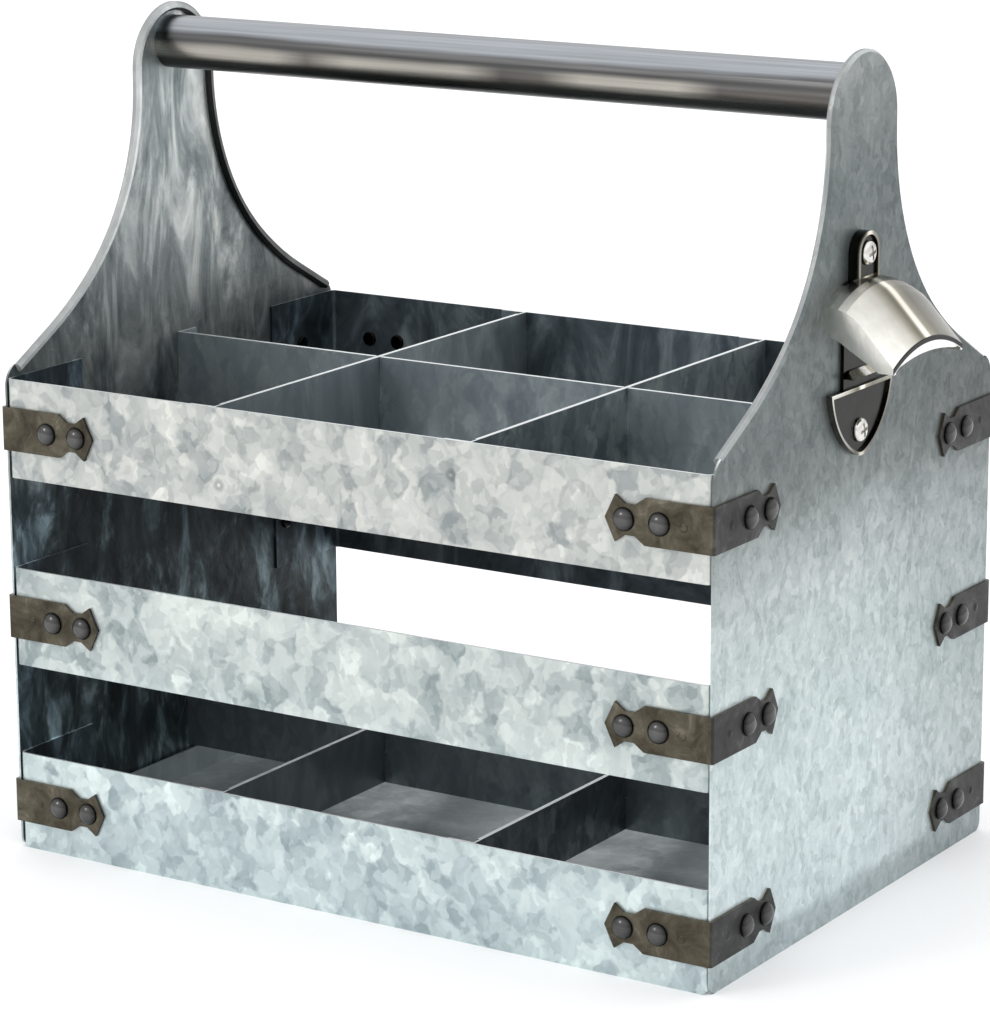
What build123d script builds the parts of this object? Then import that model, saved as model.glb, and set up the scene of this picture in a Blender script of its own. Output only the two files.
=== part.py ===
from build123d import *
import os
from math import cos, radians, sin, tan

# A six-bottle caddy of galvanised sheet, in millimetres.
# X runs along the handle, Y from front to back and Z up; the base's centre is the origin.

# Body
body_length = 320.0         # over the end panels
body_depth = 223.0          # over the front and back slats
slat_height = 39.8
slat_gap = 36.9
slat_levels = 3

# Sheets and fits
panel_sheet = 0.9
slat_sheet = 0.9
divider_sheet = 0.9
pan_sheet = 0.9
fit_clearance = 0.3         # between parts that slide into each other
cut_overrun = 5.0           # how far a cutting tool runs past the face it cuts

# End panels, whose curved edges end in a closed roll
panel_setback = 0.3         # from a slat's face to the panel's edge
panel_foot_radius = 4.0
shoulder_drop = 3.7         # from the top of the slats down to where the shoulder starts
shoulder_radius = 9.8
shoulder_slope = 28.5       # degrees from level
sweep_radius = 143.2        # lower arc of the sweep from the shoulder to the neck
sweep_slope = 42.0          # degrees from level, where the two arcs of the sweep meet
neck_sweep_radius = 96.2
neck_width = 51.6
neck_straight = 4.3
roll_diameter = 3.6
roll_sides = 8              # the roll is drawn with flats, one of them in the panel's face
roll_root = 2.4             # flat strip of sheet beside the roll

# Handle
handle_diameter = 21.6
handle_wall = 1.2
handle_drop = 16.2          # from the top of the panels down to the tube's axis

# Slats
slat_bend_radius = 2.5
slat_tab = 46.5
slat_foot_radius = 3.3      # bottom slats only

# Dividers
cell_pitch = 116.0          # between the two cross strips of a level
divider_height = 39.8
lower_divider_rise = 13.8   # bottom edge of the lower level above the floor
lower_divider_height = 26.0
divider_tab = 12.0
hem_depth = 5.0
hem_end_gap = 4.0

# Base pan
pan_flange = 12.0
pan_corner_notch = 5.0

# Corner brackets
bracket_sheet = 1.2
bracket_height = 17.4
bracket_front_arm = 45.0
bracket_side_arm = 48.3
bracket_corner_chamfer = 0.8
bracket_horn_setback = 4.2  # from the arm's blunt point back to its two horns
bracket_notch_length = 12.3
bracket_notch_depth = 3.0
bracket_notch_slant = 4.2   # how far each side of the notch leans

# Rivets and screws, drawn with flats because they are so many and small
fastener_sides = 6
rivets_per_arm = 2
rivet_from_tip = 7.9
rivet_pitch = 14.6
rivet_shank = 4.0
rivet_head = 9.0
rivet_head_rise = 2.6
rivet_head_taper = 36.0     # degrees from square
rivet_tail = 6.4
rivet_tail_rise = 1.0

# Bottle opener: a dished tab and shield, joined by a neck behind a vaulted hood.
# Rises and drops are from the shield's top edge.
opener_offset = -4.5        # from the panel's middle
opener_height = 206.5       # of the shield's top edge above the floor
opener_back_sheet = 1.4     # neck, and the shield's floor
opener_rim_width = 1.4      # round the shield and the tab
opener_neck_width = 26.0
shield_width = 48.4
shield_length = 27.0
shield_waist_width = 31.2
shield_waist_share = 0.65   # of the length, down to where the waist is measured
shield_tip_radius = 8.0
shield_rim_rise = 2.6       # from the panel
tab_width = 16.5
tab_rise = 4.6              # from the panel to the tab's rim
tab_recess = 1.0
upper_screw_rise = 49.9
lower_screw_drop = 17.0
hood_rise = 41.0
hood_drop = 20.2            # from the hood's top down to the lip's middle
hood_reach = 29.5           # from the panel to the lip
hood_width = 56.0
hood_slope = 46.5           # degrees from level
hood_bend_radius = 17.0
hood_bend_chords = 4        # the bend is drawn as this many straight stretches
hood_arch_rise = 7.2        # from the hood's sides up to its middle
hood_sheet = 2.0            # arched top, measured upright
hood_side_sheet = 1.6
hood_rim_flat = 6.0         # level stretch of a side's lower rim, behind the lip
hood_rim_slope = 31.0       # degrees that the rest of the rim rises towards the panel
tooth_rise = 4.3            # up to the tooth's foot
tooth_height = 3.6
tooth_reach = 5.0
tooth_taper = 50.0          # degrees that its faces lean back

# Opener screws and nuts
screw_diameter = 4.0
screw_length = 9.7
screw_head_diameter = 9.2
screw_head_height = 2.4
nut_width = 7.0
nut_height = 3.2

# Worked out from the sizes above
body_height = slat_levels * slat_height + (slat_levels - 1) * slat_gap
panel_face = body_length / 2
panel_inside = panel_face - panel_sheet
slat_face = body_depth / 2
slat_inside = slat_face - slat_sheet
panel_edge = slat_face - panel_setback
roll_radius = roll_diameter / 2
hood_top_height = opener_height + hood_rise
hood_lip_crown = hood_top_height - hood_drop
neck_half = neck_width / 2
shoulder_start = body_height - shoulder_drop
slat_bottoms = [level * (slat_height + slat_gap) for level in range(slat_levels)]
side_signs = (-1, 1)


def facing(slope):
    """Unit vector, in a panel's plane, that points out of an edge of this slope."""
    return Vector(sin(radians(slope)), cos(radians(slope)))


# The panel's curved edge is worked out as a chain from the shoulder up to the neck.
shoulder_turn = 90 - shoulder_slope
shoulder_centre = Vector(panel_edge - shoulder_radius, shoulder_start)
shoulder_end = shoulder_centre + shoulder_radius * Vector(
    cos(radians(shoulder_turn)), sin(radians(shoulder_turn))
)
sweep_start_y = (
    neck_half
    + neck_sweep_radius * (1 - sin(radians(sweep_slope)))
    + sweep_radius * (sin(radians(sweep_slope)) - sin(radians(shoulder_slope)))
)
slope_length = (shoulder_end.X - sweep_start_y) / cos(radians(shoulder_slope))
sweep_start = shoulder_end + slope_length * Vector(
    -cos(radians(shoulder_slope)), sin(radians(shoulder_slope))
)
sweep_centre = sweep_start + sweep_radius * facing(shoulder_slope)
sweep_end = sweep_centre - sweep_radius * facing(sweep_slope)
neck_sweep_centre = sweep_end + neck_sweep_radius * facing(sweep_slope)
neck_centre_height = neck_sweep_centre.Y + neck_straight
panel_top = neck_centre_height + neck_half
handle_height = panel_top - handle_drop


def curved_edge(inset):
    """One half of the panel's curved edge, from the shoulder to the top, moved inwards."""
    start = shoulder_end - inset * facing(shoulder_slope)
    bend = sweep_start - inset * facing(shoulder_slope)
    neck = neck_half - inset
    return [
        Line(start, bend),
        CenterArc(
            sweep_centre,
            sweep_radius + inset,
            -90 - shoulder_slope,
            shoulder_slope - sweep_slope,
        ),
        CenterArc(
            neck_sweep_centre,
            neck_sweep_radius + inset,
            -90 - sweep_slope,
            sweep_slope - 90,
        ),
        Line((neck, neck_sweep_centre.Y), (neck, neck_centre_height)),
        CenterArc((0, neck_centre_height), neck, 0, 90),
    ]


def both_halves(lines):
    edges = [line.edge() for line in lines]
    return edges + [edge.mirror(Plane.YZ) for edge in edges]


def panel_plate():
    """Flat sheet of the right end panel, inside the roll."""
    inset = roll_radius + roll_root
    foot = panel_edge - panel_foot_radius
    rim = curved_edge(inset)
    edges = [
        Line((0, 0), (foot, 0)),
        CenterArc((foot, panel_foot_radius), panel_foot_radius, -90, 90),
        Line((panel_edge, panel_foot_radius), (panel_edge, shoulder_start)),
        CenterArc(shoulder_centre, shoulder_radius, 0, shoulder_turn),
        Line(shoulder_end, rim[0] @ 0),
    ] + rim
    outline = make_face(both_halves(edges))
    return extrude(Plane.YZ.offset(panel_inside) * outline, amount=panel_sheet)


def roll_section(centre, slope):
    """Section of the roll and its root, square to the edge at a point of that slope."""
    roll = RegularPolygon(roll_radius, roll_sides, major_radius=False, rotation=180 / roll_sides)
    root = Rectangle(panel_sheet, roll_root, align=(Align.MIN, Align.MAX))
    station = Plane(
        origin=(panel_face, centre.X, centre.Y),
        x_dir=(-1, 0, 0),
        z_dir=(0, cos(radians(slope)), -sin(radians(slope))),
    )
    return station * (Pos(roll_radius, 0) * roll + root)


def panel_roll():
    """The roll along the curved edge, from shoulder to shoulder, run by run."""
    out = roll_radius * facing(shoulder_slope)
    runs = [
        extrude(roll_section(shoulder_end - out, shoulder_slope), amount=-slope_length),
        extrude(
            roll_section(Vector(neck_half - roll_radius, neck_sweep_centre.Y), 90),
            amount=-neck_straight,
        ),
    ]
    arcs = [
        (sweep_start - out, sweep_centre, shoulder_slope, sweep_slope - shoulder_slope),
        (sweep_end - roll_radius * facing(sweep_slope), neck_sweep_centre, sweep_slope, 90 - sweep_slope),
        (Vector(neck_half - roll_radius, neck_centre_height), Vector(0, neck_centre_height), 90, -90),
    ]
    for start, centre, slope, turn in arcs:
        axis = Axis((panel_face, centre.X, centre.Y), (-1, 0, 0))
        runs.append(revolve(roll_section(start, slope), axis=axis, revolution_arc=turn))
    half = runs[0] + runs[1:]
    return half + mirror(half, about=Plane.XZ)


def rod(diameter, length):
    """A fastener's shank, or the tool for its hole, standing on the XY plane."""
    return extrude(RegularPolygon(diameter / 2, fastener_sides), amount=length)


def grips():
    """Where the rivets go: a plane on each bracket arm's face, looking out, per rivet."""
    middles = [bottom + slat_height / 2 for bottom in slat_bottoms]
    front, side = [], []
    for count in range(rivets_per_arm):
        along_front = bracket_front_arm - rivet_from_tip - count * rivet_pitch
        along_side = bracket_side_arm - rivet_from_tip - count * rivet_pitch
        for z in middles:
            for x_sign in side_signs:
                for y_sign in side_signs:
                    x = x_sign * (panel_face + bracket_sheet)
                    y = y_sign * (slat_face + bracket_sheet)
                    front.append(
                        Plane(
                            (x - x_sign * along_front, y, z),
                            x_dir=(x_sign, 0, 0),
                            z_dir=(0, y_sign, 0),
                        )
                    )
                    side.append(
                        Plane(
                            (x, y - y_sign * along_side, z),
                            x_dir=(0, y_sign, 0),
                            z_dir=(x_sign, 0, 0),
                        )
                    )
    return front, side


front_grips, side_grips = grips()
front_grip_depth = bracket_sheet + slat_sheet
side_grip_depth = bracket_sheet + panel_sheet + slat_sheet


def rivet_holes(planes, depth):
    tool = Pos(0, 0, -depth - cut_overrun) * rod(rivet_shank + 2 * fit_clearance, depth + cut_overrun)
    return [plane * tool for plane in planes]


def rivet(plane, depth):
    """Domed head on the plane, and a shank through the grip that ends in a low tail."""
    head = extrude(
        RegularPolygon(rivet_head / 2, fastener_sides),
        amount=rivet_head_rise,
        taper=rivet_head_taper,
    )
    shank = Pos(0, 0, -depth) * rod(rivet_shank, depth)
    tail = Pos(0, 0, -depth - rivet_tail_rise) * rod(rivet_tail, rivet_tail_rise)
    return plane * (head + shank + tail)


def channel(width, leg, sheet, bend_radius, height):
    """A strip with both ends bent square towards +Y, its outer face on the XZ plane."""
    half = width / 2
    path = FilletPolyline(
        (-half, leg), (-half, 0), (half, 0), (half, leg), radius=bend_radius
    )
    inner = FilletPolyline(
        (-half + sheet, leg),
        (-half + sheet, sheet),
        (half - sheet, sheet),
        (half - sheet, leg),
        radius=bend_radius - sheet,
    )
    ends = [Line(path @ 0, inner @ 0), Line(path @ 1, inner @ 1)]
    return extrude(make_face([path, inner] + ends), amount=height)


def slat(bottom):
    """A front slat, with its tabs inside the end panels."""
    strip = channel(2 * panel_inside, slat_tab, slat_sheet, slat_bend_radius, slat_height)
    strip = Pos(0, -slat_face, bottom) * strip
    if bottom == 0:
        for sign in side_signs:
            corner = Pos(
                sign * (panel_inside - slat_foot_radius / 2),
                slat_bend_radius / 2 - slat_face,
                slat_foot_radius / 2,
            ) * Box(slat_foot_radius, slat_bend_radius, slat_foot_radius)
            foot = Pos(sign * (panel_inside - slat_foot_radius), -slat_face, slat_foot_radius)
            round_tool = foot * Rot(90, 0, 0) * Cylinder(slat_foot_radius, 2 * cut_overrun)
            strip -= corner - round_tool
    return strip


def divider(width, bottom, height):
    """A strip along X with a hem along its top edge, centred on the XZ plane."""
    strip = Box(width, divider_tab, height, align=(Align.CENTER, Align.MIN, Align.MIN))
    strip -= Pos(0, divider_sheet, 0) * Box(
        width - 2 * divider_sheet,
        divider_tab,
        2 * height,
        align=(Align.CENTER, Align.MIN, Align.CENTER),
    )
    hem_length = width - 2 * (divider_sheet + hem_end_gap)
    hem = Box(hem_length, 2 * divider_sheet, hem_depth, align=(Align.CENTER, Align.MIN, Align.MAX))
    strip += Pos(0, 0, height) * hem
    return Pos(0, -divider_sheet / 2, bottom) * strip


def long_divider(bottom, height):
    """Lengthways strip, slotted from above where the cross strips pass."""
    strip = divider(2 * panel_inside, bottom, height)
    top = bottom + height
    for sign in side_signs:
        x = sign * cell_pitch / 2
        strip -= Pos(x - divider_sheet / 2, 0, top) * Box(
            2 * divider_sheet + 2 * fit_clearance,
            2 * cut_overrun,
            2 * (hem_depth + fit_clearance),
        )
        strip -= Pos(x, 0, top) * Box(
            divider_sheet + 2 * fit_clearance,
            2 * cut_overrun,
            height + fit_clearance,
        )
    return strip


def cross_divider(sign, bottom, height):
    """Strip from front to back, slotted from below where it sits on the long strip."""
    strip = divider(2 * slat_inside, bottom, height)
    strip -= Pos(0, 0, bottom) * Box(
        divider_sheet + 2 * fit_clearance, 2 * cut_overrun, height + fit_clearance
    )
    return Pos(sign * cell_pitch / 2, 0, 0) * Rot(0, 0, 90) * strip


def base_pan():
    """Floor sheet with a flange turned up along each side, notched at the corners."""
    length = 2 * (panel_inside - slat_sheet)
    depth = 2 * slat_inside
    on_floor = (Align.CENTER, Align.CENTER, Align.MIN)
    pan = Box(length, depth, pan_flange, align=on_floor)
    pan -= Pos(0, 0, pan_sheet) * Box(
        length - 2 * pan_sheet, depth - 2 * pan_sheet, pan_flange, align=on_floor
    )
    notch = Box(2 * pan_corner_notch, 2 * pan_corner_notch, 2 * (pan_flange + cut_overrun))
    for x_sign in side_signs:
        for y_sign in side_signs:
            pan -= Pos(x_sign * length / 2, y_sign * depth / 2, 0) * notch
    return pan


def bracket_arm(length):
    """One arm, lying on the XY plane: from the corner at the origin along +X."""
    half = bracket_height / 2
    horn = length - bracket_horn_setback
    waist = half - bracket_notch_depth
    notch_start = horn - bracket_notch_length
    upper = Polyline(
        (0, 0),
        (0, half),
        (notch_start, half),
        (notch_start + bracket_notch_slant, waist),
        (horn - bracket_notch_slant, waist),
        (horn, half),
        (length, 0),
    )
    return extrude(make_face([upper, upper.mirror(Plane.XZ)]), amount=bracket_sheet)


def corner_bracket(middle):
    """The bracket of the front right corner, over the slat and the end panel."""
    corner = Pos(panel_face + bracket_sheet, -slat_face - bracket_sheet, middle)
    front = Plane((0, bracket_sheet, 0), x_dir=(-1, 0, 0), z_dir=(0, -1, 0))
    side = Plane((-bracket_sheet, 0, 0), x_dir=(0, 1, 0), z_dir=(1, 0, 0))
    plate = front * bracket_arm(bracket_front_arm) + side * bracket_arm(bracket_side_arm)
    edge = plate.edges().filter_by(Axis.Z).sort_by(Axis.X)[-1]
    return corner * chamfer(edge, bracket_corner_chamfer)


def four_corners(shape):
    """The same thing at the front right corner and, mirrored, at the other three."""
    right = [shape, mirror(shape, about=Plane.XZ)]
    return right + [mirror(one, about=Plane.YZ) for one in right]


def drilled(solid, tools):
    """Solid with the holes that meet it, leaving out tools that miss its box."""
    box = solid.bounding_box()
    near = [tool for tool in tools if box.overlaps(tool.bounding_box())]
    return solid - near if near else solid


# The opener is drawn flat, with Y as its height, and then stood against the panel.
opener_place = Plane((panel_face, opener_offset, 0), x_dir=(0, 1, 0), z_dir=(1, 0, 0))
upper_screw_height = opener_height + upper_screw_rise
lower_screw_height = opener_height - lower_screw_drop
opener_screw_heights = (upper_screw_height, lower_screw_height)
opener_screw_seats = (tab_rise - tab_recess, opener_back_sheet)


def screw_hole_tool(height):
    tool = rod(screw_diameter + 2 * fit_clearance, 2 * cut_overrun)
    return Pos(0, height, -cut_overrun) * tool


def dished(outline, hollow, rise, floor, screw_height):
    """A plate with a raised rim and a screw hole; rise and floor are from its back."""
    plate = extrude(outline, amount=rise) - Pos(0, 0, floor) * extrude(hollow, amount=rise)
    return plate - screw_hole_tool(screw_height)


def shield_outline(inset):
    half = shield_width / 2 - inset
    side = ThreePointArc(
        (half, opener_height - inset),
        (shield_waist_width / 2 - inset, opener_height - shield_waist_share * shield_length),
        (0, opener_height - shield_length + inset),
    )
    top = Line((-half, opener_height - inset), (half, opener_height - inset))
    outline = make_face([top.edge(), side.edge(), side.edge().mirror(Plane.YZ)])
    return fillet(outline.vertices().sort_by(Axis.Y)[0], shield_tip_radius - inset)


def opener_shield():
    return dished(
        shield_outline(0),
        shield_outline(opener_rim_width),
        shield_rim_rise,
        opener_back_sheet,
        lower_screw_height,
    )


def opener_neck():
    """Strip behind the hood, with a tooth whose faces lean back."""
    length = hood_rise - hood_sheet
    strip = Rectangle(opener_neck_width, length, align=(Align.CENTER, Align.MIN))
    neck = Pos(0, opener_height) * extrude(strip, amount=opener_back_sheet)
    foot = Plane((0, opener_height + tooth_rise, 0), x_dir=(1, 0, 0), z_dir=(0, 1, 0))
    foot_outline = foot * Rectangle(opener_neck_width, 2 * tooth_reach)
    tooth = extrude(foot_outline, amount=tooth_height, taper=tooth_taper)
    return neck + split(tooth, bisect_by=Plane.XY, keep=Keep.TOP)


def tab_outline(inset):
    """Straight up from inside the hood, with a round top about the screw."""
    foot = hood_top_height - hood_sheet + inset
    width = tab_width - 2 * inset
    straight = Rectangle(width, upper_screw_height - foot, align=(Align.CENTER, Align.MIN))
    return Pos(0, foot) * straight + Pos(0, upper_screw_height) * Circle(width / 2)


def opener_tab():
    return dished(
        tab_outline(0),
        tab_outline(opener_rim_width),
        tab_rise,
        tab_rise - tab_recess,
        upper_screw_height,
    )


def hood_ridge():
    """Points along the top of the hood, as height and reach: level, bent down, sloping."""
    slope = radians(hood_slope)
    knee = hood_reach - (hood_top_height - hood_lip_crown) / tan(slope)
    bend_start = knee - hood_bend_radius * tan(slope / 2)
    centre_height = hood_top_height - hood_bend_radius
    bend = []
    for count in range(hood_bend_chords + 1):
        turn = slope * count / hood_bend_chords
        bend.append(
            Vector(
                centre_height + hood_bend_radius * cos(turn),
                bend_start + hood_bend_radius * sin(turn),
            )
        )
    return [Vector(hood_top_height, 0)] + bend + [Vector(hood_lip_crown, hood_reach)]


def hood_vault():
    """The hood's arched sheet, one prism per stretch of its ridge."""
    half = hood_width / 2
    outer = ThreePointArc((-half, -hood_arch_rise), (0, 0), (half, -hood_arch_rise))
    inner = Pos(0, -hood_sheet) * outer
    ends = [Line(outer @ 0, inner @ 0), Line(outer @ 1, inner @ 1)]
    section = make_face([outer, inner] + ends)
    ridge = hood_ridge()
    prisms = []
    for start, end in zip(ridge, ridge[1:]):
        step = Vector(0, end.X - start.X, end.Y - start.Y)
        placed = Pos(0, start.X, start.Y) * section
        prisms.append(extrude(placed, amount=step.length, dir=step.normalized()))
    return prisms[0] + prisms[1:]


def hood_side():
    """One side wall of the hood, drawn in side view under the vault's edge."""
    top = [(point.Y, point.X - hood_arch_rise) for point in hood_ridge()]
    lip_reach, lip_height = top[-1]
    flat_end = lip_reach - hood_rim_flat
    back_height = lip_height - hood_sheet + flat_end * tan(radians(hood_rim_slope))
    rim = [(0, back_height), (flat_end, lip_height - hood_sheet), (lip_reach, lip_height - hood_sheet)]
    outline = make_face(Polyline(*rim, *reversed(top), close=True))
    side_view = Plane((0, 0, 0), x_dir=(0, 0, 1), z_dir=(-1, 0, 0))
    wall = extrude(side_view * outline, amount=-hood_side_sheet)
    return Pos(hood_width / 2 - hood_side_sheet, 0, 0) * wall


def opener():
    """The whole opener as one piece."""
    side = hood_side()
    hood = hood_vault() + side + mirror(side, about=Plane.YZ)
    return opener_place * (hood + opener_tab() + opener_neck() + opener_shield())


def opener_screw_holes():
    """Tools for the screws' holes in the right end panel."""
    return [opener_place * screw_hole_tool(height) for height in opener_screw_heights]


def opener_screws():
    """Two pan-head screws, in the tab and in the shield."""
    shank = Pos(0, 0, -screw_length) * rod(screw_diameter, screw_length)
    screw = shank + rod(screw_head_diameter, screw_head_height)
    return [
        opener_place * Pos(0, height, seat) * screw
        for height, seat in zip(opener_screw_heights, opener_screw_seats)
    ]


def opener_nuts():
    """Hexagon nuts against the panel's inner face."""
    outline = RegularPolygon(nut_width / 2, fastener_sides, major_radius=False)
    outline -= RegularPolygon(screw_diameter / 2 + fit_clearance, fastener_sides)
    nut = extrude(outline, amount=nut_height)
    return [
        opener_place * Pos(0, height, -panel_sheet - nut_height) * nut
        for height in opener_screw_heights
    ]


def handle_tube():
    ring = Circle(handle_diameter / 2) - Circle(handle_diameter / 2 - handle_wall)
    start = Plane.YZ.offset(-panel_inside) * Pos(0, handle_height)
    return extrude(start * ring, amount=2 * panel_inside)


def write(name, shape):
    if isinstance(shape, list):
        shape = Compound(children=shape)
    export_step(shape, f"parts/{name}.step")


def build():
    os.makedirs("parts", exist_ok=True)

    front_holes = rivet_holes(front_grips, front_grip_depth)
    side_holes = rivet_holes(side_grips, side_grip_depth)

    panel = panel_plate() + panel_roll()
    write("end_panel_right", drilled(panel, side_holes) - opener_screw_holes())
    write("end_panel_left", drilled(mirror(panel, about=Plane.YZ), side_holes))
    write("handle_tube", handle_tube())

    for level, bottom in zip(("bottom", "middle", "top"), slat_bottoms):
        front = slat(bottom)
        back = mirror(front, about=Plane.XZ)
        write(f"slat_{level}_front", drilled(front, front_holes + side_holes))
        write(f"slat_{level}_back", drilled(back, front_holes + side_holes))
        brackets = four_corners(corner_bracket(bottom + slat_height / 2))
        write(
            f"corner_brackets_{level}",
            [drilled(bracket, front_holes + side_holes) for bracket in brackets],
        )

    front_rivets = [rivet(plane, front_grip_depth) for plane in front_grips]
    side_rivets = [rivet(plane, side_grip_depth) for plane in side_grips]
    write("bracket_rivets", front_rivets + side_rivets)

    upper = (slat_bottoms[-1], divider_height)
    lower = (lower_divider_rise, lower_divider_height)
    for level, (bottom, height) in (("upper", upper), ("lower", lower)):
        write(f"divider_{level}_long", long_divider(bottom, height))
        write(f"divider_{level}_left", cross_divider(-1, bottom, height))
        write(f"divider_{level}_right", cross_divider(1, bottom, height))
    write("base_pan", base_pan())

    write("bottle_opener", opener())
    write("opener_screws", opener_screws())
    write("opener_nuts", opener_nuts())


build()
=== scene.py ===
import math

import bmesh
import bpy
from mathutils import Matrix, Vector


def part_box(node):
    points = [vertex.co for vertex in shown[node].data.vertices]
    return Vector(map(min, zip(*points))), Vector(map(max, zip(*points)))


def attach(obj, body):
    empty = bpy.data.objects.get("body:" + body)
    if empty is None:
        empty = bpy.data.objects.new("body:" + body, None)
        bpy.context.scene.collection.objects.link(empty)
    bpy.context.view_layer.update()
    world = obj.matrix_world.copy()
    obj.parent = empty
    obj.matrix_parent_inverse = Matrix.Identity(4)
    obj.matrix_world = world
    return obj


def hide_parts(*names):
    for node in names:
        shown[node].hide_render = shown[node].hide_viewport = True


# A galvanised bottle caddy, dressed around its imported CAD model.
# Blender works in metres. Sizes named below are in millimetres where nothing else is said.

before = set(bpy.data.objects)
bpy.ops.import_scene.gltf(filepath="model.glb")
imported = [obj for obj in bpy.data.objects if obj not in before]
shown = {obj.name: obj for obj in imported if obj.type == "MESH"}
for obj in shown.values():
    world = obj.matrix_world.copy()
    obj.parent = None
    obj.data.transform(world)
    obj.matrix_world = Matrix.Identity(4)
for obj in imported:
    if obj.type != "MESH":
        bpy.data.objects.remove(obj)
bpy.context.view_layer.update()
MM = 0.001

# Camera, at the photograph's viewing angle
CAMERA_PLACE = Vector((0.8025, -1.2505, 0.5031))        # metres
CAMERA_AZIMUTH = 32.78      # degrees, from the front towards the opener's end
CAMERA_ELEVATION = 13.87
CAMERA_ROLL = -0.33
CAMERA_LENS = 135.07
CAMERA_SENSOR = 36.0
CAMERA_NEAR = 0.1           # metres
CAMERA_FAR = 50.0

# Stage and light, in metres
FLOOR_SIZE = 14.0
KEY_PLACE = (-1.2, -2.2, 1.6)
KEY_TARGET = (0, 0, 0.15)
KEY_SIZE = 0.6
KEY_POWER = 9.0             # watts
KEY_COLOUR = (1.0, 0.99, 0.97)
SKY_LEVELS = ((0.0, 0.62), (0.25, 0.70), (0.55, 1.00), (0.8, 1.0))      # by upward direction
SKY_BLUE = 1.01             # times the other two colours
SKY_STRENGTH = 1.35

# Sizes repeated from the CAD source
PANEL_FACE = 160.0
PANEL_EDGE = 111.2
ROLL_SEAM = 1.0             # depth behind the panel's face where its roll begins
SLAT_TAB_SEAM = 1.9         # depth behind the panel's face, just past the slats' bent tabs
SLAT_FACE = 111.5
SLAT_MIDDLES = (19.9, 96.6, 173.3)
BRACKET_SHEET = 1.2
FRONT_ARM = 45.0
SIDE_ARM = 48.3
RIVET_FROM_TIP = 7.9
RIVET_PITCH = 14.6
RIVETS_PER_ARM = 2
FRONT_GRIP = 2.1            # through bracket and slat
SIDE_GRIP = 3.0             # through bracket, panel and slat
OPENER_OFFSET = -4.5
SHIELD_TOP = 206.5          # height
HOOD_TOP = 247.5            # height
HOOD_REACH = 29.5           # from the panel
NECK_HALF = 13.0
OPENER_TAB_LIFT = 2.1       # of the tab's floor over the shield's
LIP_ARCH_RADIUS = 58.0
LIP_ARCH_CENTRE = 169.3     # height of its centre
# The lip's dark edge is painted shade.
LIP_BAND = 1.7              # thickness of the lip's dark edge
OPENER_SCREWS = ((256.4, 3.6), (189.5, 1.4))    # height, and seat above the panel

# Shapes of the small pieces, as (radius, height) points
RIVET_HEAD = [
    (2.0, 0.0),
    (4.3, 0.0),
    (4.45, 0.25),
    (4.2, 0.75),
    (3.7, 1.35),
    (2.9, 1.95),
    (1.9, 2.4),
    (0.9, 2.57),
    (0.0, 2.6),
]
RIVET_TAIL = [(0.0, 1.0), (2.4, 1.0), (3.1, 0.8), (3.2, 0.0), (2.0, 0.0)]       # depth past the grip
RIVET_STEPS = 24
PIP_DOME = [(0.0, -0.3), (1.7, -0.3), (1.7, 0.0), (1.3, 0.25), (0.7, 0.4), (0.0, 0.45)]
PIP_FROM_CORNER = 12.5
PIP_STEPS = 16
SCREW_SHANK = [(0.0, -9.7), (1.9, -9.7), (2.0, -9.2), (2.0, 0.0)]
SCREW_HEAD = [(4.3, 0.0), (4.6, 0.3), (4.55, 0.9), (4.1, 1.6), (3.2, 2.1), (2.0, 2.35), (0.0, 2.4)]
SCREW_HEAD_RISE = 2.4
SCREW_STEPS = 32
SLOT_LENGTH = 5.6
SLOT_WIDTH = 1.25
SLOT_DEPTH = 2.6
SLOT_TURN = 12              # degrees

# The crescent under the hood's lip
LINING_HALF_ANGLE = 26.0    # degrees, along the lip's arch
LINING_STRETCHES = 24
LINING_TIP = 0.3            # its depth at both ends
LINING_SWELL = 3.3          # and how much deeper it is in the middle
LINING_FULLNESS = 0.7       # under 1 is fuller than a cosine
LINING_BACK = 28.0          # reach from the panel
LINING_FRONT = 29.1
LINING_FOOT = 28.6

# Depths of the surfaces' fine relief, in metres
GRAIN = 0.00010
BRUSHING = 0.00002

# Widths of the eased edges, by the start of a node's name
EASED = {"bottle_opener": 0.35, "divider": 0.35, "corner_brackets": 0.3, "end_panel": 0.3}
EASED_ANGLE = 40            # degrees
EASED_STEPS = 2

# Edges with a larger turn than this stay sharp, in degrees
LINING_SHARP_ANGLE = 35
SCREW_SHARP_ANGLE = 45


# Node helpers

def ramp_node(tree, stops):
    """A ramp with colours at positions from 0 to 1; a colour is a grey or (red, green, blue)."""
    node = tree.nodes.new("ShaderNodeValToRGB")
    elements = node.color_ramp.elements
    while len(elements) < len(stops):
        elements.new(0.5)
    for element, (position, colour) in zip(elements, stops):
        element.position = position
        rgb = colour if isinstance(colour, tuple) else (colour,) * 3
        element.color = (*rgb, 1.0)
    return node


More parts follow.
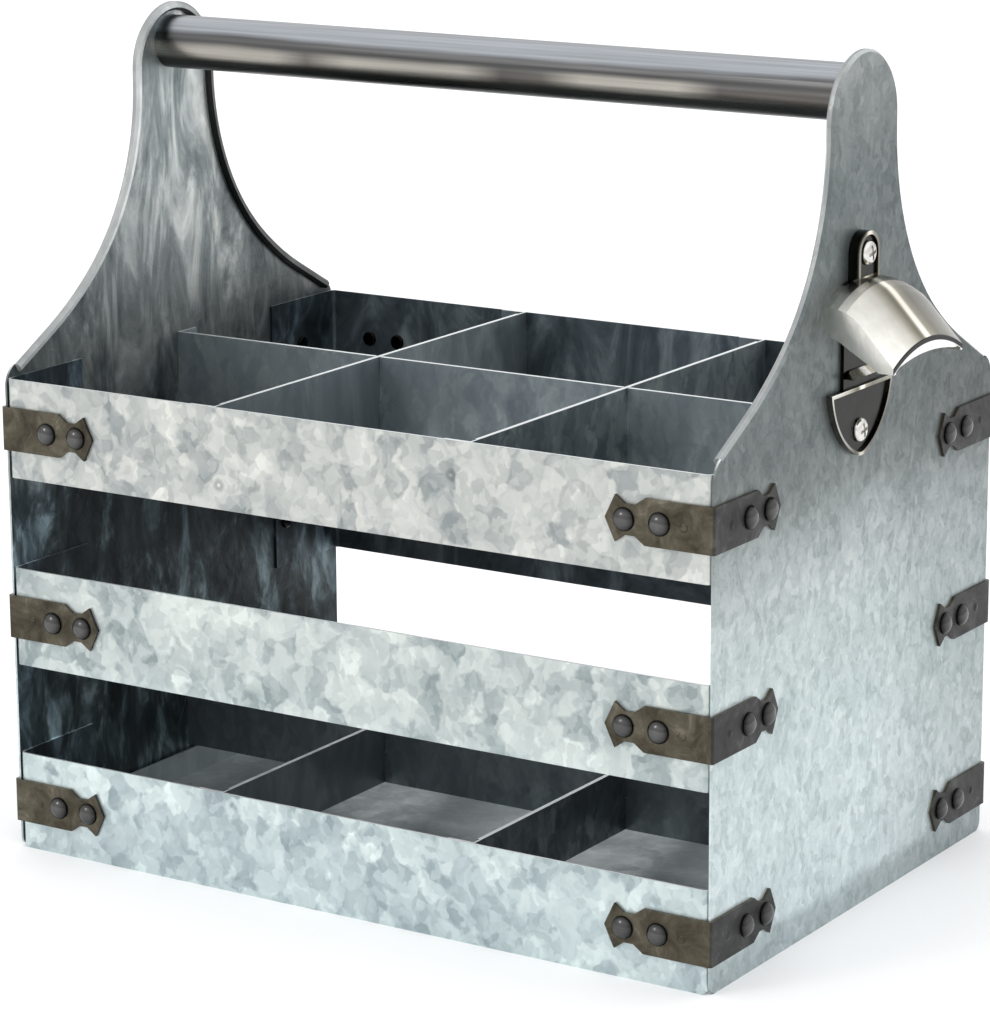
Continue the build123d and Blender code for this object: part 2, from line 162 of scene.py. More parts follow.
class Nodes:
    """A material's node tree, with short calls for the nodes used here."""

    def __init__(self, name):
        self.material = bpy.data.materials.new(name)
        self.material.use_nodes = True
        self.tree = self.material.node_tree
        self.shader = self.tree.nodes["Principled BSDF"]
        coordinates = self.tree.nodes.new("ShaderNodeTexCoord")
        self.place = coordinates.outputs["Object"]
        self.normal = coordinates.outputs["Normal"]

    def link(self, source, target):
        if isinstance(source, (int, float)):
            target.default_value = source
        elif isinstance(source, tuple):
            target.default_value = source if len(source) == len(target.default_value) else (*source, 1.0)
        else:
            self.tree.links.new(source, target)

    def feed(self, source, name):
        self.link(source, self.shader.inputs[name])

    def colour(self):
        """What feeds the shader's colour so far."""
        return self.shader.inputs["Base Color"].links[0].from_socket

    def worked_out(self, node_type, kind, sources):
        """The outputs of a node that works something out from its sources."""
        node = self.tree.nodes.new(node_type)
        node.operation = kind
        for socket, source in zip(node.inputs, sources):
            self.link(source, socket)
        return node.outputs

    def vector(self, kind, *sources):
        outputs = self.worked_out("ShaderNodeVectorMath", kind, sources)
        return outputs["Value" if kind in ("DOT_PRODUCT", "DISTANCE") else "Vector"]

    def math(self, kind, *sources):
        return self.worked_out("ShaderNodeMath", kind, sources)[0]

    def axis(self, vector, letter):
        node = self.tree.nodes.new("ShaderNodeSeparateXYZ")
        self.link(vector, node.inputs[0])
        return node.outputs[letter]

    def millimetres(self, letter):
        return self.math("MULTIPLY", self.axis(self.place, letter), 1.0 / MM)

    def off_middle(self, letter):
        """Distance from the caddy's middle plane, in millimetres."""
        return self.math("ABSOLUTE", self.millimetres(letter))

    def squeezed(self, *factors):
        """The place with its axes multiplied, so that a texture stretches along small ones."""
        return self.vector("MULTIPLY", self.place, factors)

    def noise(self, scale, detail=2.0, rough=0.5, place=None, distortion=0.0, output="Fac"):
        node = self.tree.nodes.new("ShaderNodeTexNoise")
        node.inputs["Scale"].default_value = scale
        node.inputs["Detail"].default_value = detail
        node.inputs["Roughness"].default_value = rough
        node.inputs["Distortion"].default_value = distortion
        self.link(place or self.place, node.inputs["Vector"])
        return node.outputs[output]

    def cells(self, scale, place, smoothness):
        """Random tone per cell, with soft borders."""
        node = self.tree.nodes.new("ShaderNodeTexVoronoi")
        node.feature = "SMOOTH_F1"
        node.inputs["Scale"].default_value = scale
        node.inputs["Smoothness"].default_value = smoothness
        self.link(place, node.inputs["Vector"])
        return self.axis(node.outputs["Color"], "X")

    def ramp(self, value, stops):
        """Colours at values of a quantity."""
        low, high = stops[0][0], stops[-1][0]
        share = self.math("DIVIDE", self.math("SUBTRACT", value, low), high - low)
        node = ramp_node(self.tree, [((at - low) / (high - low), colour) for at, colour in stops])
        self.link(share, node.inputs["Fac"])
        return node.outputs["Color"]

    def step(self, value, start, end):
        """A soft border: 0 up to the start and 1 past the end, which may be the lower of the two."""
        return self.ramp(value, sorted([(start, 0.0), (end, 1.0)]))

    def mix(self, kind, factor, first, second):
        node = self.tree.nodes.new("ShaderNodeMix")
        node.data_type = "RGBA"
        node.blend_type = kind
        colours = [socket for socket in node.inputs if socket.type == "RGBA"]
        self.link(factor, node.inputs["Factor"])
        self.link(first, colours[0])
        self.link(second, colours[1])
        return [socket for socket in node.outputs if socket.type == "RGBA"][0]

    def tinted(self, colour, tint, share=1.0):
        return self.mix("MULTIPLY", share, colour, tint)

    def covered(self, colour, cover, share):
        return self.mix("MIX", share, colour, cover)

    def bump(self, height, distance):
        node = self.tree.nodes.new("ShaderNodeBump")
        node.inputs["Distance"].default_value = distance
        self.link(height, node.inputs["Height"])
        self.feed(node.outputs["Normal"], "Normal")


# Galvanised sheet

def crystals(m, scale, stretch, softness):
    """Spangle: patches of irregular crystals, from 0 to 1."""
    warp = 0.013            # metres
    fineness = 2.7          # of the small crystals, by the large ones' scale
    breadth = 0.3           # of the clouds, likewise
    large_share = 0.44
    small_share = 0.26
    cloud_share = 0.9
    lowering = -0.30
    drift = m.noise(70.0, detail=3.0, rough=0.6, output="Color")
    place = m.vector("MULTIPLY_ADD", drift, (warp, warp, warp), m.place)
    place = m.vector("MULTIPLY", place, stretch)
    large = m.cells(scale, place, softness)
    small = m.cells(scale * fineness, place, softness)
    cloud = m.noise(scale * breadth, detail=5.0, rough=0.65, place=place)
    level = m.math("MULTIPLY_ADD", large, large_share, m.math("MULTIPLY", small, small_share))
    return m.math("ADD", level, m.math("MULTIPLY_ADD", cloud, cloud_share, lowering))


def faces_inside(m):
    """1 on a sheet's face that looks into the caddy, 0 on the face that looks out."""
    outward = m.vector("DOT_PRODUCT", m.squeezed(1.0, 1.0, 0.0), m.normal)
    return m.step(outward, 0.002, -0.002)


def wavering_height(m):
    """Height in millimetres, moved up and down a little from place to place."""
    waver = 16.0
    low = m.math("SUBTRACT", m.millimetres("Z"), waver / 2)
    return m.math("MULTIPLY_ADD", m.noise(20.0, detail=3.0), waver, low)


def inner_glint_streaks(m):
    """Upright streaks, for the painted glints and painted shade on the sheets inside the caddy."""
    return m.noise(64.0, detail=5.0, rough=0.6, place=m.squeezed(1.0, 1.0, 0.5), distortion=1.0)


def zinc(name, scale, stretch, softness, tones, heights, inner, inner_heights, painted_top_highlight=True):
    """Galvanised sheet: spangled outside, streaked and darker inside with painted shade, each toned by
    height with painted light; faces looking up may get a painted highlight.
    """
    m = Nodes(name)
    level = crystals(m, scale, stretch, softness)
    height = wavering_height(m)
    # The tone by height is painted light and reflection.
    outer = m.tinted(m.ramp(level, tones), m.ramp(height, heights))
    streaks = m.noise(46.0, detail=6.0, rough=0.62, place=m.squeezed(1.0, 1.0, 0.36), distortion=1.3)
    # Inside faces get painted shade: darker, streaked, toned by height.
    painted_inner_shade = m.tinted(m.ramp(streaks, inner), m.ramp(height, inner_heights))
    colour = m.covered(outer, painted_inner_shade, faces_inside(m))
    # Faces looking up get a painted highlight.
    if painted_top_highlight:
        faces_up = m.step(m.axis(m.normal, "Z"), 0.5, 0.9)
        colour = m.covered(colour, (0.74, 0.77, 0.77), faces_up)
    m.feed(colour, "Base Color")
    m.feed(m.ramp(level, [(0.2, 0.52), (0.8, 0.36)]), "Roughness")
    m.bump(level, GRAIN)
    m.feed(0.75, "Metallic")
    return m


def mark(m, colour, centre, radius):
    """A small pressed mark: a darker ring about a lighter middle."""
    tones = [(0.4, 1.15), (0.8, 0.62), (1.2, 0.72), (1.7, 1.0)]     # by share of the radius
    wobble = 0.6            # of the radius
    away = m.vector("DISTANCE", m.place, tuple(c * MM for c in centre))
    away = m.math("ADD", away, m.math("MULTIPLY", m.noise(900.0), wobble * radius * MM))
    return m.tinted(colour, m.ramp(away, [(share * radius * MM, tone) for share, tone in tones]))


def slat_zinc():
    tones = [
        (0.14, (0.30, 0.33, 0.34)),
        (0.38, (0.45, 0.475, 0.475)),
        (0.56, (0.56, 0.58, 0.57)),
        (0.72, (0.64, 0.65, 0.63)),
        (0.92, (0.80, 0.81, 0.78)),
    ]
    # Tone by height: a painted reflection, bluer and lighter low down.
    heights = [
        (0.0, (0.96, 1.08, 1.12)),
        (30.0, (1.00, 1.12, 1.15)),
        (90.0, (0.90, 0.97, 0.96)),
        (130.0, (0.90, 0.95, 0.94)),
        (150.0, (0.90, 0.905, 0.885)),
        (193.0, (0.90, 0.905, 0.88)),
    ]
    # Inside faces: painted shade, darker below the top.
    inner = [(0.34, (0.05, 0.065, 0.075)), (0.52, (0.12, 0.15, 0.17)), (0.72, (0.34, 0.40, 0.42))]
    inner_heights = [(0.0, 0.8), (150.0, 0.8), (193.0, 1.1)]
    m = zinc(
        "zinc_slat",
        scale=108.0,
        stretch=(1.0, 1.0, 0.85),
        softness=0.2,
        tones=tones,
        heights=heights,
        inner=inner,
        inner_heights=inner_heights,
    )
    colour = m.colour()
    for centre in ((-56.0, -SLAT_FACE, 163.0), (50.0, -SLAT_FACE, 180.0)):
        colour = mark(m, colour, centre, radius=2.2)
    # On the slats' bent tabs inside the panels: painted shade with painted glint streaks.
    at_panel = m.step(m.off_middle("X"), PANEL_FACE - SLAT_TAB_SEAM - 0.3, PANEL_FACE - SLAT_TAB_SEAM)
    behind_face = m.step(m.off_middle("Y"), SLAT_FACE - 2.5, SLAT_FACE - 5.5)
    tab = m.math("MULTIPLY", at_panel, behind_face)
    painted_tab_shade = [(0.44, (0.25, 0.28, 0.30)), (0.52, (0.42, 0.46, 0.50)), (0.62, (1.1, 1.25, 1.3))]
    m.feed(m.tinted(colour, m.ramp(inner_glint_streaks(m), painted_tab_shade), tab), "Base Color")
    return m.material


def rolled_rim(m):
    """The panels' roll, coloured with painted light: grey outwards, a painted highlight sideways,
    painted shade at its root and towards the back.
    """
    painted_highlight_stops = [(0.3, (0.56, 0.59, 0.59)), (0.6, (0.80, 0.83, 0.82)), (0.8, (0.92, 0.94, 0.93))]
    painted_roll_shading = [(-0.7, 0.10), (-0.25, 0.40), (0.0, 1.05), (0.7, 0.82), (1.05, 0.43)]
    colour = m.ramp(m.noise(60.0, detail=4.0, rough=0.6), painted_highlight_stops)
    sideways = m.math("MULTIPLY", m.math("SIGN", m.axis(m.place, "Y")), m.axis(m.normal, "Y"))
    outwards = m.math("ADD", sideways, m.axis(m.normal, "Z"))
    # Painted shading by the way the roll faces, and painted shade towards the back.
    colour = m.tinted(colour, m.ramp(outwards, painted_roll_shading))
    return m.tinted(colour, m.ramp(m.millimetres("Y"), [(-8.0, 1.0), (26.0, 0.16)]))


def panel_zinc():
    tones = [
        (0.12, (0.47, 0.545, 0.55)),
        (0.42, (0.59, 0.675, 0.685)),
        (0.62, (0.65, 0.735, 0.745)),
        (0.92, (0.76, 0.835, 0.835)),
    ]
    # Tone by height, a painted reflection: lighter low down, darker higher up, and darker along the
    # bottom 10 mm.
    heights = [
        (0.0, (0.66, 0.67, 0.68)),
        (10.0, (0.68, 0.69, 0.70)),
        (15.0, (1.00, 1.00, 1.01)),
        (50.0, (0.99, 0.99, 0.99)),
        (90.0, (0.84, 0.85, 0.84)),
        (120.0, (0.80, 0.80, 0.79)),
        (135.0, (0.74, 0.73, 0.72)),
        (152.0, (0.60, 0.59, 0.58)),
        (172.0, (0.35, 0.345, 0.335)),
        (190.0, (0.235, 0.235, 0.23)),
        (285.0, (0.245, 0.25, 0.245)),
        (325.0, (0.43, 0.41, 0.40)),
    ]
    # Inside faces (this list and the next): painted shade, darkest about 140 mm up.
    inner = [
        (0.36, (0.11, 0.13, 0.135)),
        (0.50, (0.26, 0.29, 0.29)),
        (0.60, (0.48, 0.51, 0.50)),
        (0.75, (0.78, 0.80, 0.77)),
    ]
    inner_heights = [
        (0.0, (0.25, 0.31, 0.34)),
        (140.0, (0.10, 0.13, 0.15)),
        (190.0, 0.55),
        (215.0, 1.0),
        (250.0, 1.1),
        (290.0, 1.3),
    ]
    m = zinc(
        "zinc_panel",
        scale=290.0,
        stretch=(1.0, 1.0, 0.7),
        softness=0.3,
        tones=tones,
        heights=heights,
        inner=inner,
        inner_heights=inner_heights,
    )
    # Painted shade: darker towards the back.
    front_to_back = [(-PANEL_EDGE, 1.0), (10.0, 0.98), (60.0, 0.78), (PANEL_EDGE, 0.68)]
    colour = m.tinted(m.colour(), m.ramp(m.millimetres("Y"), front_to_back))

    # Below the slats' top the inside gets painted light near its front edge, and painted glint streaks
    front = m.ramp(m.millimetres("Y"), [(-PANEL_EDGE, 2.8), (-90.0, 2.0), (-76.0, 1.0)])
    painted_glints = m.ramp(inner_glint_streaks(m), [(0.44, 0.5), (0.52, 0.85), (0.62, 2.6)])
    low_inside = m.math("MULTIPLY", m.step(m.millimetres("Z"), 190.0, 150.0), faces_inside(m))
    colour = m.tinted(colour, m.tinted(front, painted_glints), low_inside)

    roll = m.step(m.off_middle("X"), PANEL_FACE - ROLL_SEAM, PANEL_FACE - ROLL_SEAM - 0.2)
    m.feed(m.covered(colour, rolled_rim(m), roll), "Base Color")
    return m.material


def plain_zinc(name, scale, stretch, softness, tones, heights, painted_top_highlight=True):
    """Sheet with the same tones on both faces."""
    return zinc(name, scale, stretch, softness, tones, heights, tones, heights, painted_top_highlight).material


def divider_zinc():
    # Darker than the slats and darker lower down: painted shade inside the caddy.
    tones = [(0.15, (0.12, 0.15, 0.17)), (0.5, (0.22, 0.26, 0.28)), (0.9, (0.42, 0.47, 0.48))]
    heights = [(0.0, 0.6), (150.0, 0.75), (193.0, 1.1)]
    return plain_zinc("zinc_divider", 130.0, (1.0, 1.0, 0.5), 0.3, tones, heights)


def pan_zinc():
    tones = [(0.15, (0.26, 0.29, 0.30)), (0.5, (0.38, 0.42, 0.43)), (0.9, (0.58, 0.62, 0.62))]
    heights = [(0.0, 1.0), (193.0, 1.0)]
    return plain_zinc("zinc_pan", 105.0, (1.0, 1.0, 1.0), 0.2, tones, heights, painted_top_highlight=False)


# Steel, bronze and nickel

def tube_steel(axis_height):
    """Drawn steel, brushed, coloured with painted reflections: bright along its top, dark below, with
    cream highlight patches.
    """
    m = Nodes("steel_tube")
    lines = m.noise(700.0, detail=3.0, rough=0.6, place=m.squeezed(0.012, 1.0, 1.0))
    reflection_wobble = m.noise(26.0, detail=3.0, rough=0.55, place=m.squeezed(0.35, 1.0, 1.0))
    up = m.math("SUBTRACT", m.axis(m.place, "Z"), axis_height)
    out = m.math("MULTIPLY", m.axis(m.place, "Y"), -1.0)
    waver = 18.0            # degrees
    turn = m.math("MULTIPLY", m.math("ARCTAN2", up, out), 180.0 / math.pi)
    turn = m.math("MULTIPLY_ADD", reflection_wobble, waver, m.math("SUBTRACT", turn, waver / 2))
    # Painted reflection bands round the tube.
    tones = [               # by degrees up from the front
        (-90.0, (0.045, 0.045, 0.045)),
        (-50.0, (0.06, 0.06, 0.06)),
        (-36.0, (0.10, 0.10, 0.095)),
        (-26.0, (0.085, 0.08, 0.075)),
        (-10.0, (0.065, 0.06, 0.058)),
        (2.0, (0.11, 0.11, 0.11)),
        (14.0, (0.085, 0.085, 0.085)),
        (24.0, (0.075, 0.075, 0.077)),
        (35.0, (0.30, 0.32, 0.34)),
        (58.0, (0.34, 0.36, 0.385)),
        (80.0, (0.25, 0.265, 0.28)),
        (130.0, (0.22, 0.23, 0.24)),
        (180.0, (0.12, 0.12, 0.12)),
    ]
    # Where the cream painted highlight lies, by degrees and by place along the tube.
    belt = [(-34.0, 0.0), (-24.0, 0.8), (-12.0, 1.0), (0.0, 0.9), (10.0, 0.0)]
    painted_highlight_stops = [              # by place along the tube
        (-160.0, 0.9),
        (-100.0, 0.8),
        (-84.0, 0.2),
        (-64.0, 0.9),
        (-10.0, 0.9),
        (8.0, 0.1),
        (26.0, 0.2),
        (44.0, 1.0),
        (86.0, 1.0),
        (104.0, 0.1),
        (160.0, 0.15),
    ]
    share = m.math("MULTIPLY", m.ramp(turn, belt), m.ramp(m.millimetres("X"), painted_highlight_stops))
    colour = m.covered(m.ramp(turn, tones), (0.40, 0.38, 0.34), share)
    m.feed(m.tinted(colour, m.ramp(lines, [(0.3, 0.80), (0.7, 1.15)])), "Base Color")
    m.feed(m.ramp(lines, [(0.3, 0.34), (0.7, 0.26)]), "Roughness")
    m.bump(lines, BRUSHING)
    m.feed(1.0, "Metallic")
    return m.material


def bracket_bronze():
    """Bronze-brown plating on steel, with a greyer, darker painted shade on the arms over the end
    panels.
    """
    m = Nodes("bronze_bracket")
    wear = m.noise(95.0, detail=6.0, rough=0.68, distortion=0.6)
    grain = m.noise(1100.0)
    browns = [
        (0.34, (0.042, 0.035, 0.023)),
        (0.50, (0.078, 0.068, 0.047)),
        (0.62, (0.115, 0.103, 0.075)),
        (0.78, (0.26, 0.24, 0.19)),
    ]
    greys = [(0.34, (0.024, 0.024, 0.023)), (0.55, (0.040, 0.040, 0.039)), (0.78, (0.11, 0.11, 0.108))]
    # Painted shade on the arms over the end panels, by the way they face.
    on_panel = m.step(m.math("ABSOLUTE", m.axis(m.normal, "X")), 0.4, 0.8)
    m.feed(m.covered(m.ramp(wear, browns), m.ramp(wear, greys), on_panel), "Base Color")
    m.feed(m.ramp(wear, [(0.3, 0.50), (0.8, 0.32)]), "Roughness")
    m.bump(m.math("MULTIPLY_ADD", grain, 0.4, wear), GRAIN)
    m.feed(0.8, "Metallic")
    return m.material


def plated(name, stops, rough, scratch=(0.3, 0.08, 1.0)):
    """Plated steel with fine scratches and slight tarnish."""
    m = Nodes(name)
    tarnish = m.noise(160.0, detail=4.0, rough=0.6)
    scratches = m.noise(1400.0, place=m.squeezed(*scratch))
    m.feed(m.ramp(tarnish, stops), "Base Color")
    m.feed(m.ramp(tarnish, [(0.25, rough + 0.12), (0.75, rough)]), "Roughness")
    m.bump(scratches, BRUSHING)
    m.feed(1.0, "Metallic")
    return m


def opener_hollows(m, across, height, out):
    """1 on the floors of shield and tab and on the neck, 0 on rims and hood."""
    tab = m.step(height, HOOD_TOP - 0.5, HOOD_TOP + 0.5)
    depth = m.math("MULTIPLY_ADD", tab, -OPENER_TAB_LIFT, out)
    hollow = m.step(depth, PANEL_FACE + 2.2, PANEL_FACE + 1.7)
    beside_neck = m.step(m.math("ABSOLUTE", across), NECK_HALF + 0.1, NECK_HALF + 0.4)
    above_shield = m.step(height, SHIELD_TOP + 0.1, SHIELD_TOP + 0.5)
    hood_side = m.math("MULTIPLY", beside_neck, above_shield)
    return m.math("MULTIPLY", hollow, m.math("SUBTRACT", 1.0, hood_side))


def opener_nickel():
    """Satin nickel with painted light: bright painted reflection stripes on the hood, a greyer painted
    shade on the shield, and painted shade in the hollows and along the lip's edge.
    """
    stops = [(0.3, (0.80, 0.79, 0.75)), (0.7, (0.90, 0.89, 0.86))]
    m = plated("nickel_opener", stops, 0.16, (0.3, 1.0, 0.08))
    across = m.math("SUBTRACT", m.millimetres("Y"), OPENER_OFFSET)
    height = m.millimetres("Z")
    out = m.millimetres("X")

    # Painted reflection stripes, by place across the opener.
    bands = [               # by place across the opener
        (-28.0, (0.74, 0.74, 0.72)),
        (-18.0, (0.66, 0.66, 0.63)),
        (-12.0, (0.54, 0.53, 0.50)),
        (-7.5, (0.31, 0.295, 0.25)),
        (-4.5, (0.165, 0.155, 0.125)),
        (-3.0, (0.22, 0.205, 0.17)),
        (-1.0, (1.00, 0.96, 0.86)),
        (0.8, (1.00, 0.96, 0.86)),
        (2.8, (0.34, 0.325, 0.28)),
        (8.0, (0.21, 0.20, 0.17)),
        (16.0, (0.27, 0.26, 0.23)),
        (28.0, (0.42, 0.41, 0.38)),
    ]
    # Painted light: the hood lighter lower down; painted shade on the shield's rim below its top.
    hood_heights = [(SHIELD_TOP + 4.5, 1.7), (SHIELD_TOP + 19.5, 1.3), (SHIELD_TOP + 33.5, 0.95)]
    rim_heights = [(SHIELD_TOP - 6.5, 0.42), (SHIELD_TOP - 0.5, 0.66), (SHIELD_TOP + 0.1, 1.0)]
    colour = m.tinted(m.colour(), m.tinted(m.ramp(across, bands), m.ramp(height, hood_heights)))
    colour = m.tinted(colour, m.ramp(height, rim_heights))

    # Painted shade in the hollows of shield, tab and neck.
    painted_shade_tones = [(0.3, (0.008, 0.009, 0.007)), (0.7, (0.018, 0.019, 0.016))]
    painted_hollow_shade = m.ramp(m.noise(120.0, detail=4.0, rough=0.6), painted_shade_tones)
    colour = m.covered(colour, painted_hollow_shade, opener_hollows(m, across, height, out))

    # Painted shade on the shield's upright walls.
    on_shield = m.step(height, SHIELD_TOP + 0.1, SHIELD_TOP - 0.2)
    upright = m.step(m.axis(m.normal, "X"), 0.6, 0.4)
    colour = m.covered(colour, (0.13, 0.125, 0.115), m.math("MULTIPLY", on_shield, upright))

    # Painted shade along the lip's edge.
    arch_centre = (PANEL_FACE + HOOD_REACH, OPENER_OFFSET, LIP_ARCH_CENTRE)
    from_arch = m.vector("DISTANCE", m.place, tuple(c * MM for c in arch_centre))
    from_arch = m.math("MULTIPLY", from_arch, 1.0 / MM)
    lip = m.step(out, PANEL_FACE + HOOD_REACH - 0.4, PANEL_FACE + HOOD_REACH - 0.2)
    dark_above = LIP_ARCH_RADIUS - LIP_BAND
    lip_tone = m.ramp(from_arch, [(dark_above, 0.9), (dark_above + 0.2, 0.012)])
    m.feed(m.covered(colour, lip_tone, lip), "Base Color")
    return m.material


def rivet_steel():
    """Blued steel domes, polished, with painted shade near black about the foot and a painted highlight
    on top.
    """
    # Painted shade about the foot, rising to a painted highlight on top.
    tones = [(0.0, 0.010), (0.7, 0.018), (1.4, 0.060), (2.2, 0.105), (2.6, 0.125)]      # by rise
    m = plated("steel_rivet", [(0.3, (0.78, 0.76, 0.75)), (0.7, (1.0, 0.99, 0.98))], 0.17)
    over_front = m.math("SUBTRACT", m.off_middle("Y"), SLAT_FACE + BRACKET_SHEET)
    over_side = m.math("SUBTRACT", m.off_middle("X"), PANEL_FACE + BRACKET_SHEET)
    rise = m.math("MAXIMUM", over_front, over_side)
    m.feed(m.tinted(m.colour(), m.ramp(rise, tones)), "Base Color")
    return m.material


screw_tones = [(0.3, (0.58, 0.57, 0.53)), (0.7, (0.86, 0.85, 0.82))]
lining_tones = [(0.3, (0.84, 0.84, 0.81)), (0.7, (0.97, 0.97, 0.95))]
bright_steel = plated("steel_screw", screw_tones, 0.2).material
dark_steel = rivet_steel()
lining_nickel = plated("nickel_lining", lining_tones, 0.3).material
tube_low, tube_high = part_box("handle_tube")

node_looks = {
    "end_panel": panel_zinc(),
    "handle_tube": tube_steel((tube_low[2] + tube_high[2]) / 2),
    "slat": slat_zinc(),
    "corner_brackets": bracket_bronze(),
    "divider": divider_zinc(),
    "base_pan": pan_zinc(),
    "bottle_opener": opener_nickel(),
    "opener_nuts": bright_steel,
}
for name, node in shown.items():
    for start, look in node_looks.items():
        if name.startswith(start):
            node.data.materials.clear()
            node.data.materials.append(look)
    for start, width in EASED.items():
        if name.startswith(start):
            easing = node.modifiers.new("eased_edges", "BEVEL")
            easing.width = width * MM
            easing.segments = EASED_STEPS
            easing.limit_method = "ANGLE"
            easing.angle_limit = math.radians(EASED_ANGLE)
            easing.use_clamp_overlap = False


# Pieces

def drawn(name, builder):
    """A mesh from a builder that draws in millimetres."""
    bm = bmesh.new()
    builder(bm)
    bmesh.ops.scale(bm, vec=(MM, MM, MM), verts=bm.verts)
    bmesh.ops.recalc_face_normals(bm, faces=bm.faces)
    mesh = bpy.data.meshes.new(name)
    bm.to_mesh(mesh)
    bm.free()
    return mesh


def placed(name, data):
    """A new object in the scene, with this mesh, light or camera."""
    obj = bpy.data.objects.new(name, data)
    bpy.context.scene.collection.objects.link(obj)
    return obj


def piece(name, builder, material):
    """A new smooth piece that rides on the caddy."""
    mesh = drawn(name, builder)
    for polygon in mesh.polygons:
        polygon.use_smooth = True
    mesh.materials.append(material)
    obj = placed(name, mesh)
    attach(obj, "root")
    return obj


def turned(bm, place, outline, steps):
    """A solid of revolution about the place's Z axis; outline is (radius, height) points."""
    rings = []
    for radius, height in outline:
        if radius == 0:
            rings.append([bm.verts.new(place @ Vector((0, 0, height)))])
            continue
        ring = []
        for count in range(steps):
            angle = 2 * math.pi * count / steps
            point = Vector((radius * math.cos(angle), radius * math.sin(angle), height))
            ring.append(bm.verts.new(place @ point))
        rings.append(ring)
    for low, high in zip(rings, rings[1:]):
        for count in range(steps):
            after = (count + 1) % steps
            corners = [low[0]] if len(low) == 1 else [low[count], low[after]]
            corners += [high[0]] if len(high) == 1 else [high[after], high[count]]
            bm.faces.new(corners)


def looking(place, direction):
    """A frame at the place whose Z axis points along the direction."""
    turn = Vector(direction).to_track_quat("Z", "Y").to_matrix().to_4x4()
    return Matrix.Translation(place) @ turn


def arm_places(front_distance, side_distance):
    """A frame and a grip on every bracket arm's face, at these distances from the corner."""
    places = []
    for z in SLAT_MIDDLES:
        for x_sign in (-1, 1):
            for y_sign in (-1, 1):
                x = x_sign * (PANEL_FACE + BRACKET_SHEET)
                y = y_sign * (SLAT_FACE + BRACKET_SHEET)
                front = looking((x - x_sign * front_distance, y, z), (0, y_sign, 0))
                side = looking((x, y - y_sign * side_distance, z), (x_sign, 0, 0))
                places.append((front, FRONT_GRIP))
                places.append((side, SIDE_GRIP))
    return places


def build_rivets(bm):
    """Dome rivets, each with its shank and tail."""
    for count in range(RIVETS_PER_ARM):
        step = RIVET_FROM_TIP + count * RIVET_PITCH
        for place, grip in arm_places(FRONT_ARM - step, SIDE_ARM - step):
            tail = [(radius, -grip - depth) for radius, depth in RIVET_TAIL]
            turned(bm, place, tail + RIVET_HEAD, RIVET_STEPS)


def build_pips(bm):
    """A small pressed pip near the corner of each bracket arm."""
    for place, _ in arm_places(PIP_FROM_CORNER, PIP_FROM_CORNER):
        turned(bm, place, PIP_DOME, PIP_STEPS)


def build_lining(bm):
    """A bright crescent under the hood's lip."""
    radius = LIP_ARCH_RADIUS - LIP_BAND
    back, front, foot = (PANEL_FACE + reach for reach in (LINING_BACK, LINING_FRONT, LINING_FOOT))
    rings = []
    for count in range(LINING_STRETCHES + 1):
        share = 2.0 * count / LINING_STRETCHES - 1.0        # from -1 to 1 along the lip
        angle = math.radians(LINING_HALF_ANGLE * share)
        drop = LINING_TIP + LINING_SWELL * math.cos(math.radians(90.0 * share)) ** LINING_FULLNESS
        across = OPENER_OFFSET + radius * math.sin(angle)
        top = LIP_ARCH_CENTRE + radius * math.cos(angle)
        corners = ((back, top), (front, top), (foot, top - drop), (back, top - drop))
        rings.append([bm.verts.new((x, across, z)) for x, z in corners])
    for low, high in zip(rings, rings[1:]):
        for count in range(len(low)):
            after = (count + 1) % len(low)
            bm.faces.new((low[count], low[after], high[after], high[count]))
    for ring in (rings[0], rings[-1]):
        bm.faces.new(ring)


def build_screws(bm):
    for height, seat in OPENER_SCREWS:
        place = looking((PANEL_FACE + seat, OPENER_OFFSET, height), (1, 0, 0))
        turned(bm, place, SCREW_SHANK + SCREW_HEAD, SCREW_STEPS)


def build_crosses(bm):
    """Cutters for the screws' cross slots."""
    for height, seat in OPENER_SCREWS:
        place = looking((PANEL_FACE + seat + SCREW_HEAD_RISE, OPENER_OFFSET, height), (1, 0, 0))
        place = place @ Matrix.Rotation(math.radians(SLOT_TURN), 4, "Z")
        for size in ((SLOT_LENGTH, SLOT_WIDTH, SLOT_DEPTH), (SLOT_WIDTH, SLOT_LENGTH, SLOT_DEPTH)):
            bmesh.ops.create_cube(bm, size=1.0, matrix=place @ Matrix.Diagonal((*size, 1.0)))


def carve(target, builder):
    """Cut the builder's solids out of the target's mesh."""
    cutter = placed("cutter", drawn("cutter", builder))
    cut = target.modifiers.new("cut", "BOOLEAN")
    cut.operation = "DIFFERENCE"
    cut.solver = "EXACT"
    cut.use_self = True
    cut.object = cutter
    evaluated = target.evaluated_get(bpy.context.evaluated_depsgraph_get())
    carved = bpy.data.meshes.new_from_object(evaluated)
    target.modifiers.clear()
    target.data = carved
    bpy.data.objects.remove(cutter)


rivets = piece("rivet_domes", build_rivets, dark_steel)
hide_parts("bracket_rivets")
piece("bracket_pips", build_pips, node_looks["corner_brackets"])
lining = piece("hood_lining", build_lining, lining_nickel)
lining.data.set_sharp_from_angle(angle=math.radians(LINING_SHARP_ANGLE))
screws = piece("cross_slot_screws", build_screws, bright_steel)
carve(screws, build_crosses)
screws.data.set_sharp_from_angle(angle=math.radians(SCREW_SHARP_ANGLE))
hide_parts("opener_screws")


# Stage, light and camera

def floor():
    bpy.ops.mesh.primitive_plane_add(size=FLOOR_SIZE, location=(0, 0, 0))
    ground = bpy.context.object
    ground.name = "floor"
    m = Nodes("floor_pale")
    m.feed(m.ramp(m.noise(3.0), [(0.3, 0.92), (0.7, 0.95)]), "Base Color")
    m.feed(0.9, "Roughness")
    ground.data.materials.append(m.material)


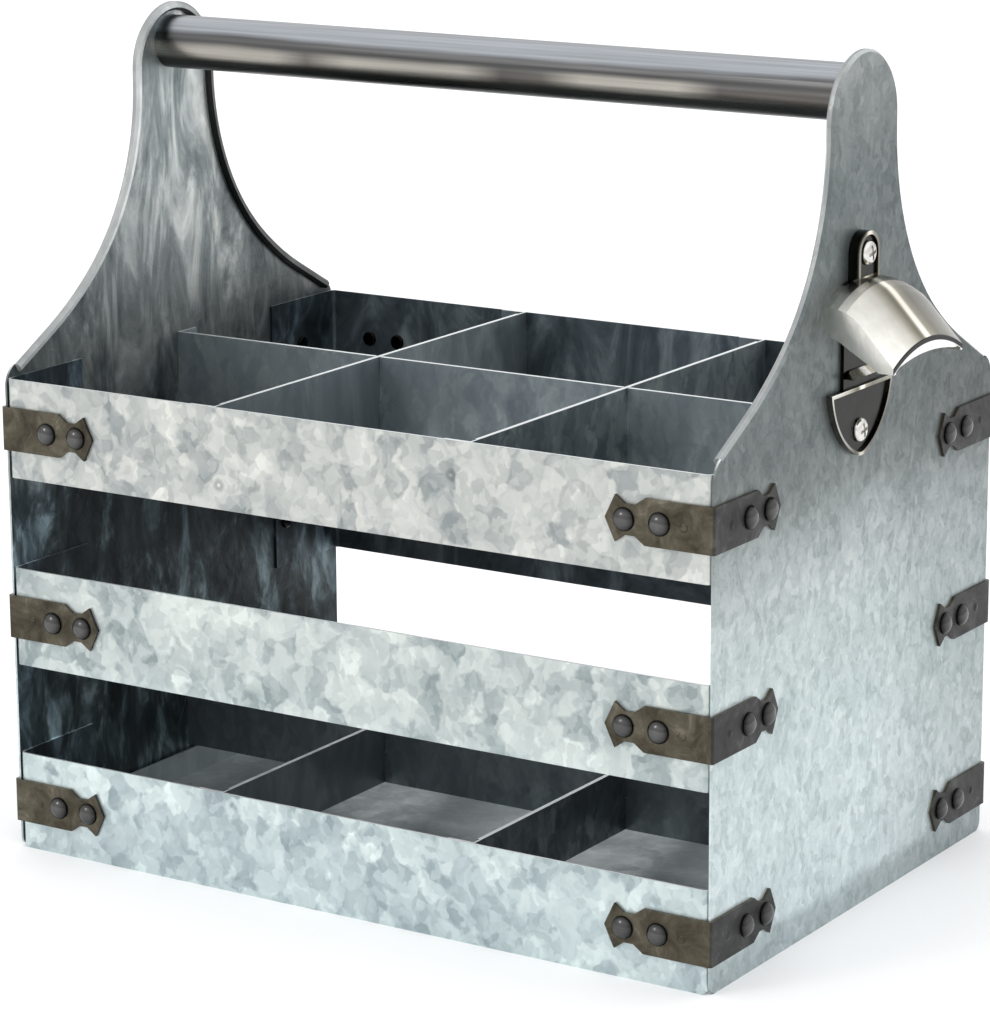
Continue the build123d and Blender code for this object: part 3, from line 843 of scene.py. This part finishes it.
def sky():
    """Soft light from all round, brightest overhead."""
    world = bpy.data.worlds.new("studio")
    world.use_nodes = True
    tree = world.node_tree
    direction = tree.nodes.new("ShaderNodeTexCoord").outputs["Generated"]
    split = tree.nodes.new("ShaderNodeSeparateXYZ")
    tree.links.new(direction, split.inputs[0])
    ramp = ramp_node(tree, [(at, (level, level, level * SKY_BLUE)) for at, level in SKY_LEVELS])
    tree.links.new(split.outputs["Z"], ramp.inputs["Fac"])
    background = tree.nodes["Background"]
    tree.links.new(ramp.outputs["Color"], background.inputs["Color"])
    background.inputs["Strength"].default_value = SKY_STRENGTH
    bpy.context.scene.world = world
    bpy.context.scene.view_settings.view_transform = "Standard"


def key_light():
    data = bpy.data.lights.new("key", "AREA")
    data.shape = "RECTANGLE"
    data.size = KEY_SIZE
    data.size_y = KEY_SIZE
    data.energy = KEY_POWER
    data.color = KEY_COLOUR
    light = placed("key", data)
    light.location = KEY_PLACE
    light.rotation_euler = (Vector(KEY_TARGET) - Vector(KEY_PLACE)).to_track_quat("-Z", "Y").to_euler()


def camera():
    angles = (CAMERA_AZIMUTH, CAMERA_ELEVATION, CAMERA_ROLL)
    azimuth, elevation, roll = (math.radians(angle) for angle in angles)
    level = math.cos(elevation)
    back = Vector((math.sin(azimuth) * level, -math.cos(azimuth) * level, math.sin(elevation)))
    right = Vector((0, 0, 1)).cross(back).normalized()
    up = back.cross(right)
    right_rolled = math.cos(roll) * right + math.sin(roll) * up
    up_rolled = math.cos(roll) * up - math.sin(roll) * right
    data = bpy.data.cameras.new("camera")
    data.lens = CAMERA_LENS
    data.sensor_width = CAMERA_SENSOR
    data.sensor_fit = "AUTO"
    data.clip_start = CAMERA_NEAR
    data.clip_end = CAMERA_FAR
    matrix = Matrix((right_rolled, up_rolled, back)).transposed().to_4x4()
    matrix.translation = CAMERA_PLACE
    obj = placed("camera", data)
    obj.matrix_world = matrix
    bpy.context.scene.camera = obj


floor()
sky()
key_light()
camera()

bpy.context.view_layer.update()
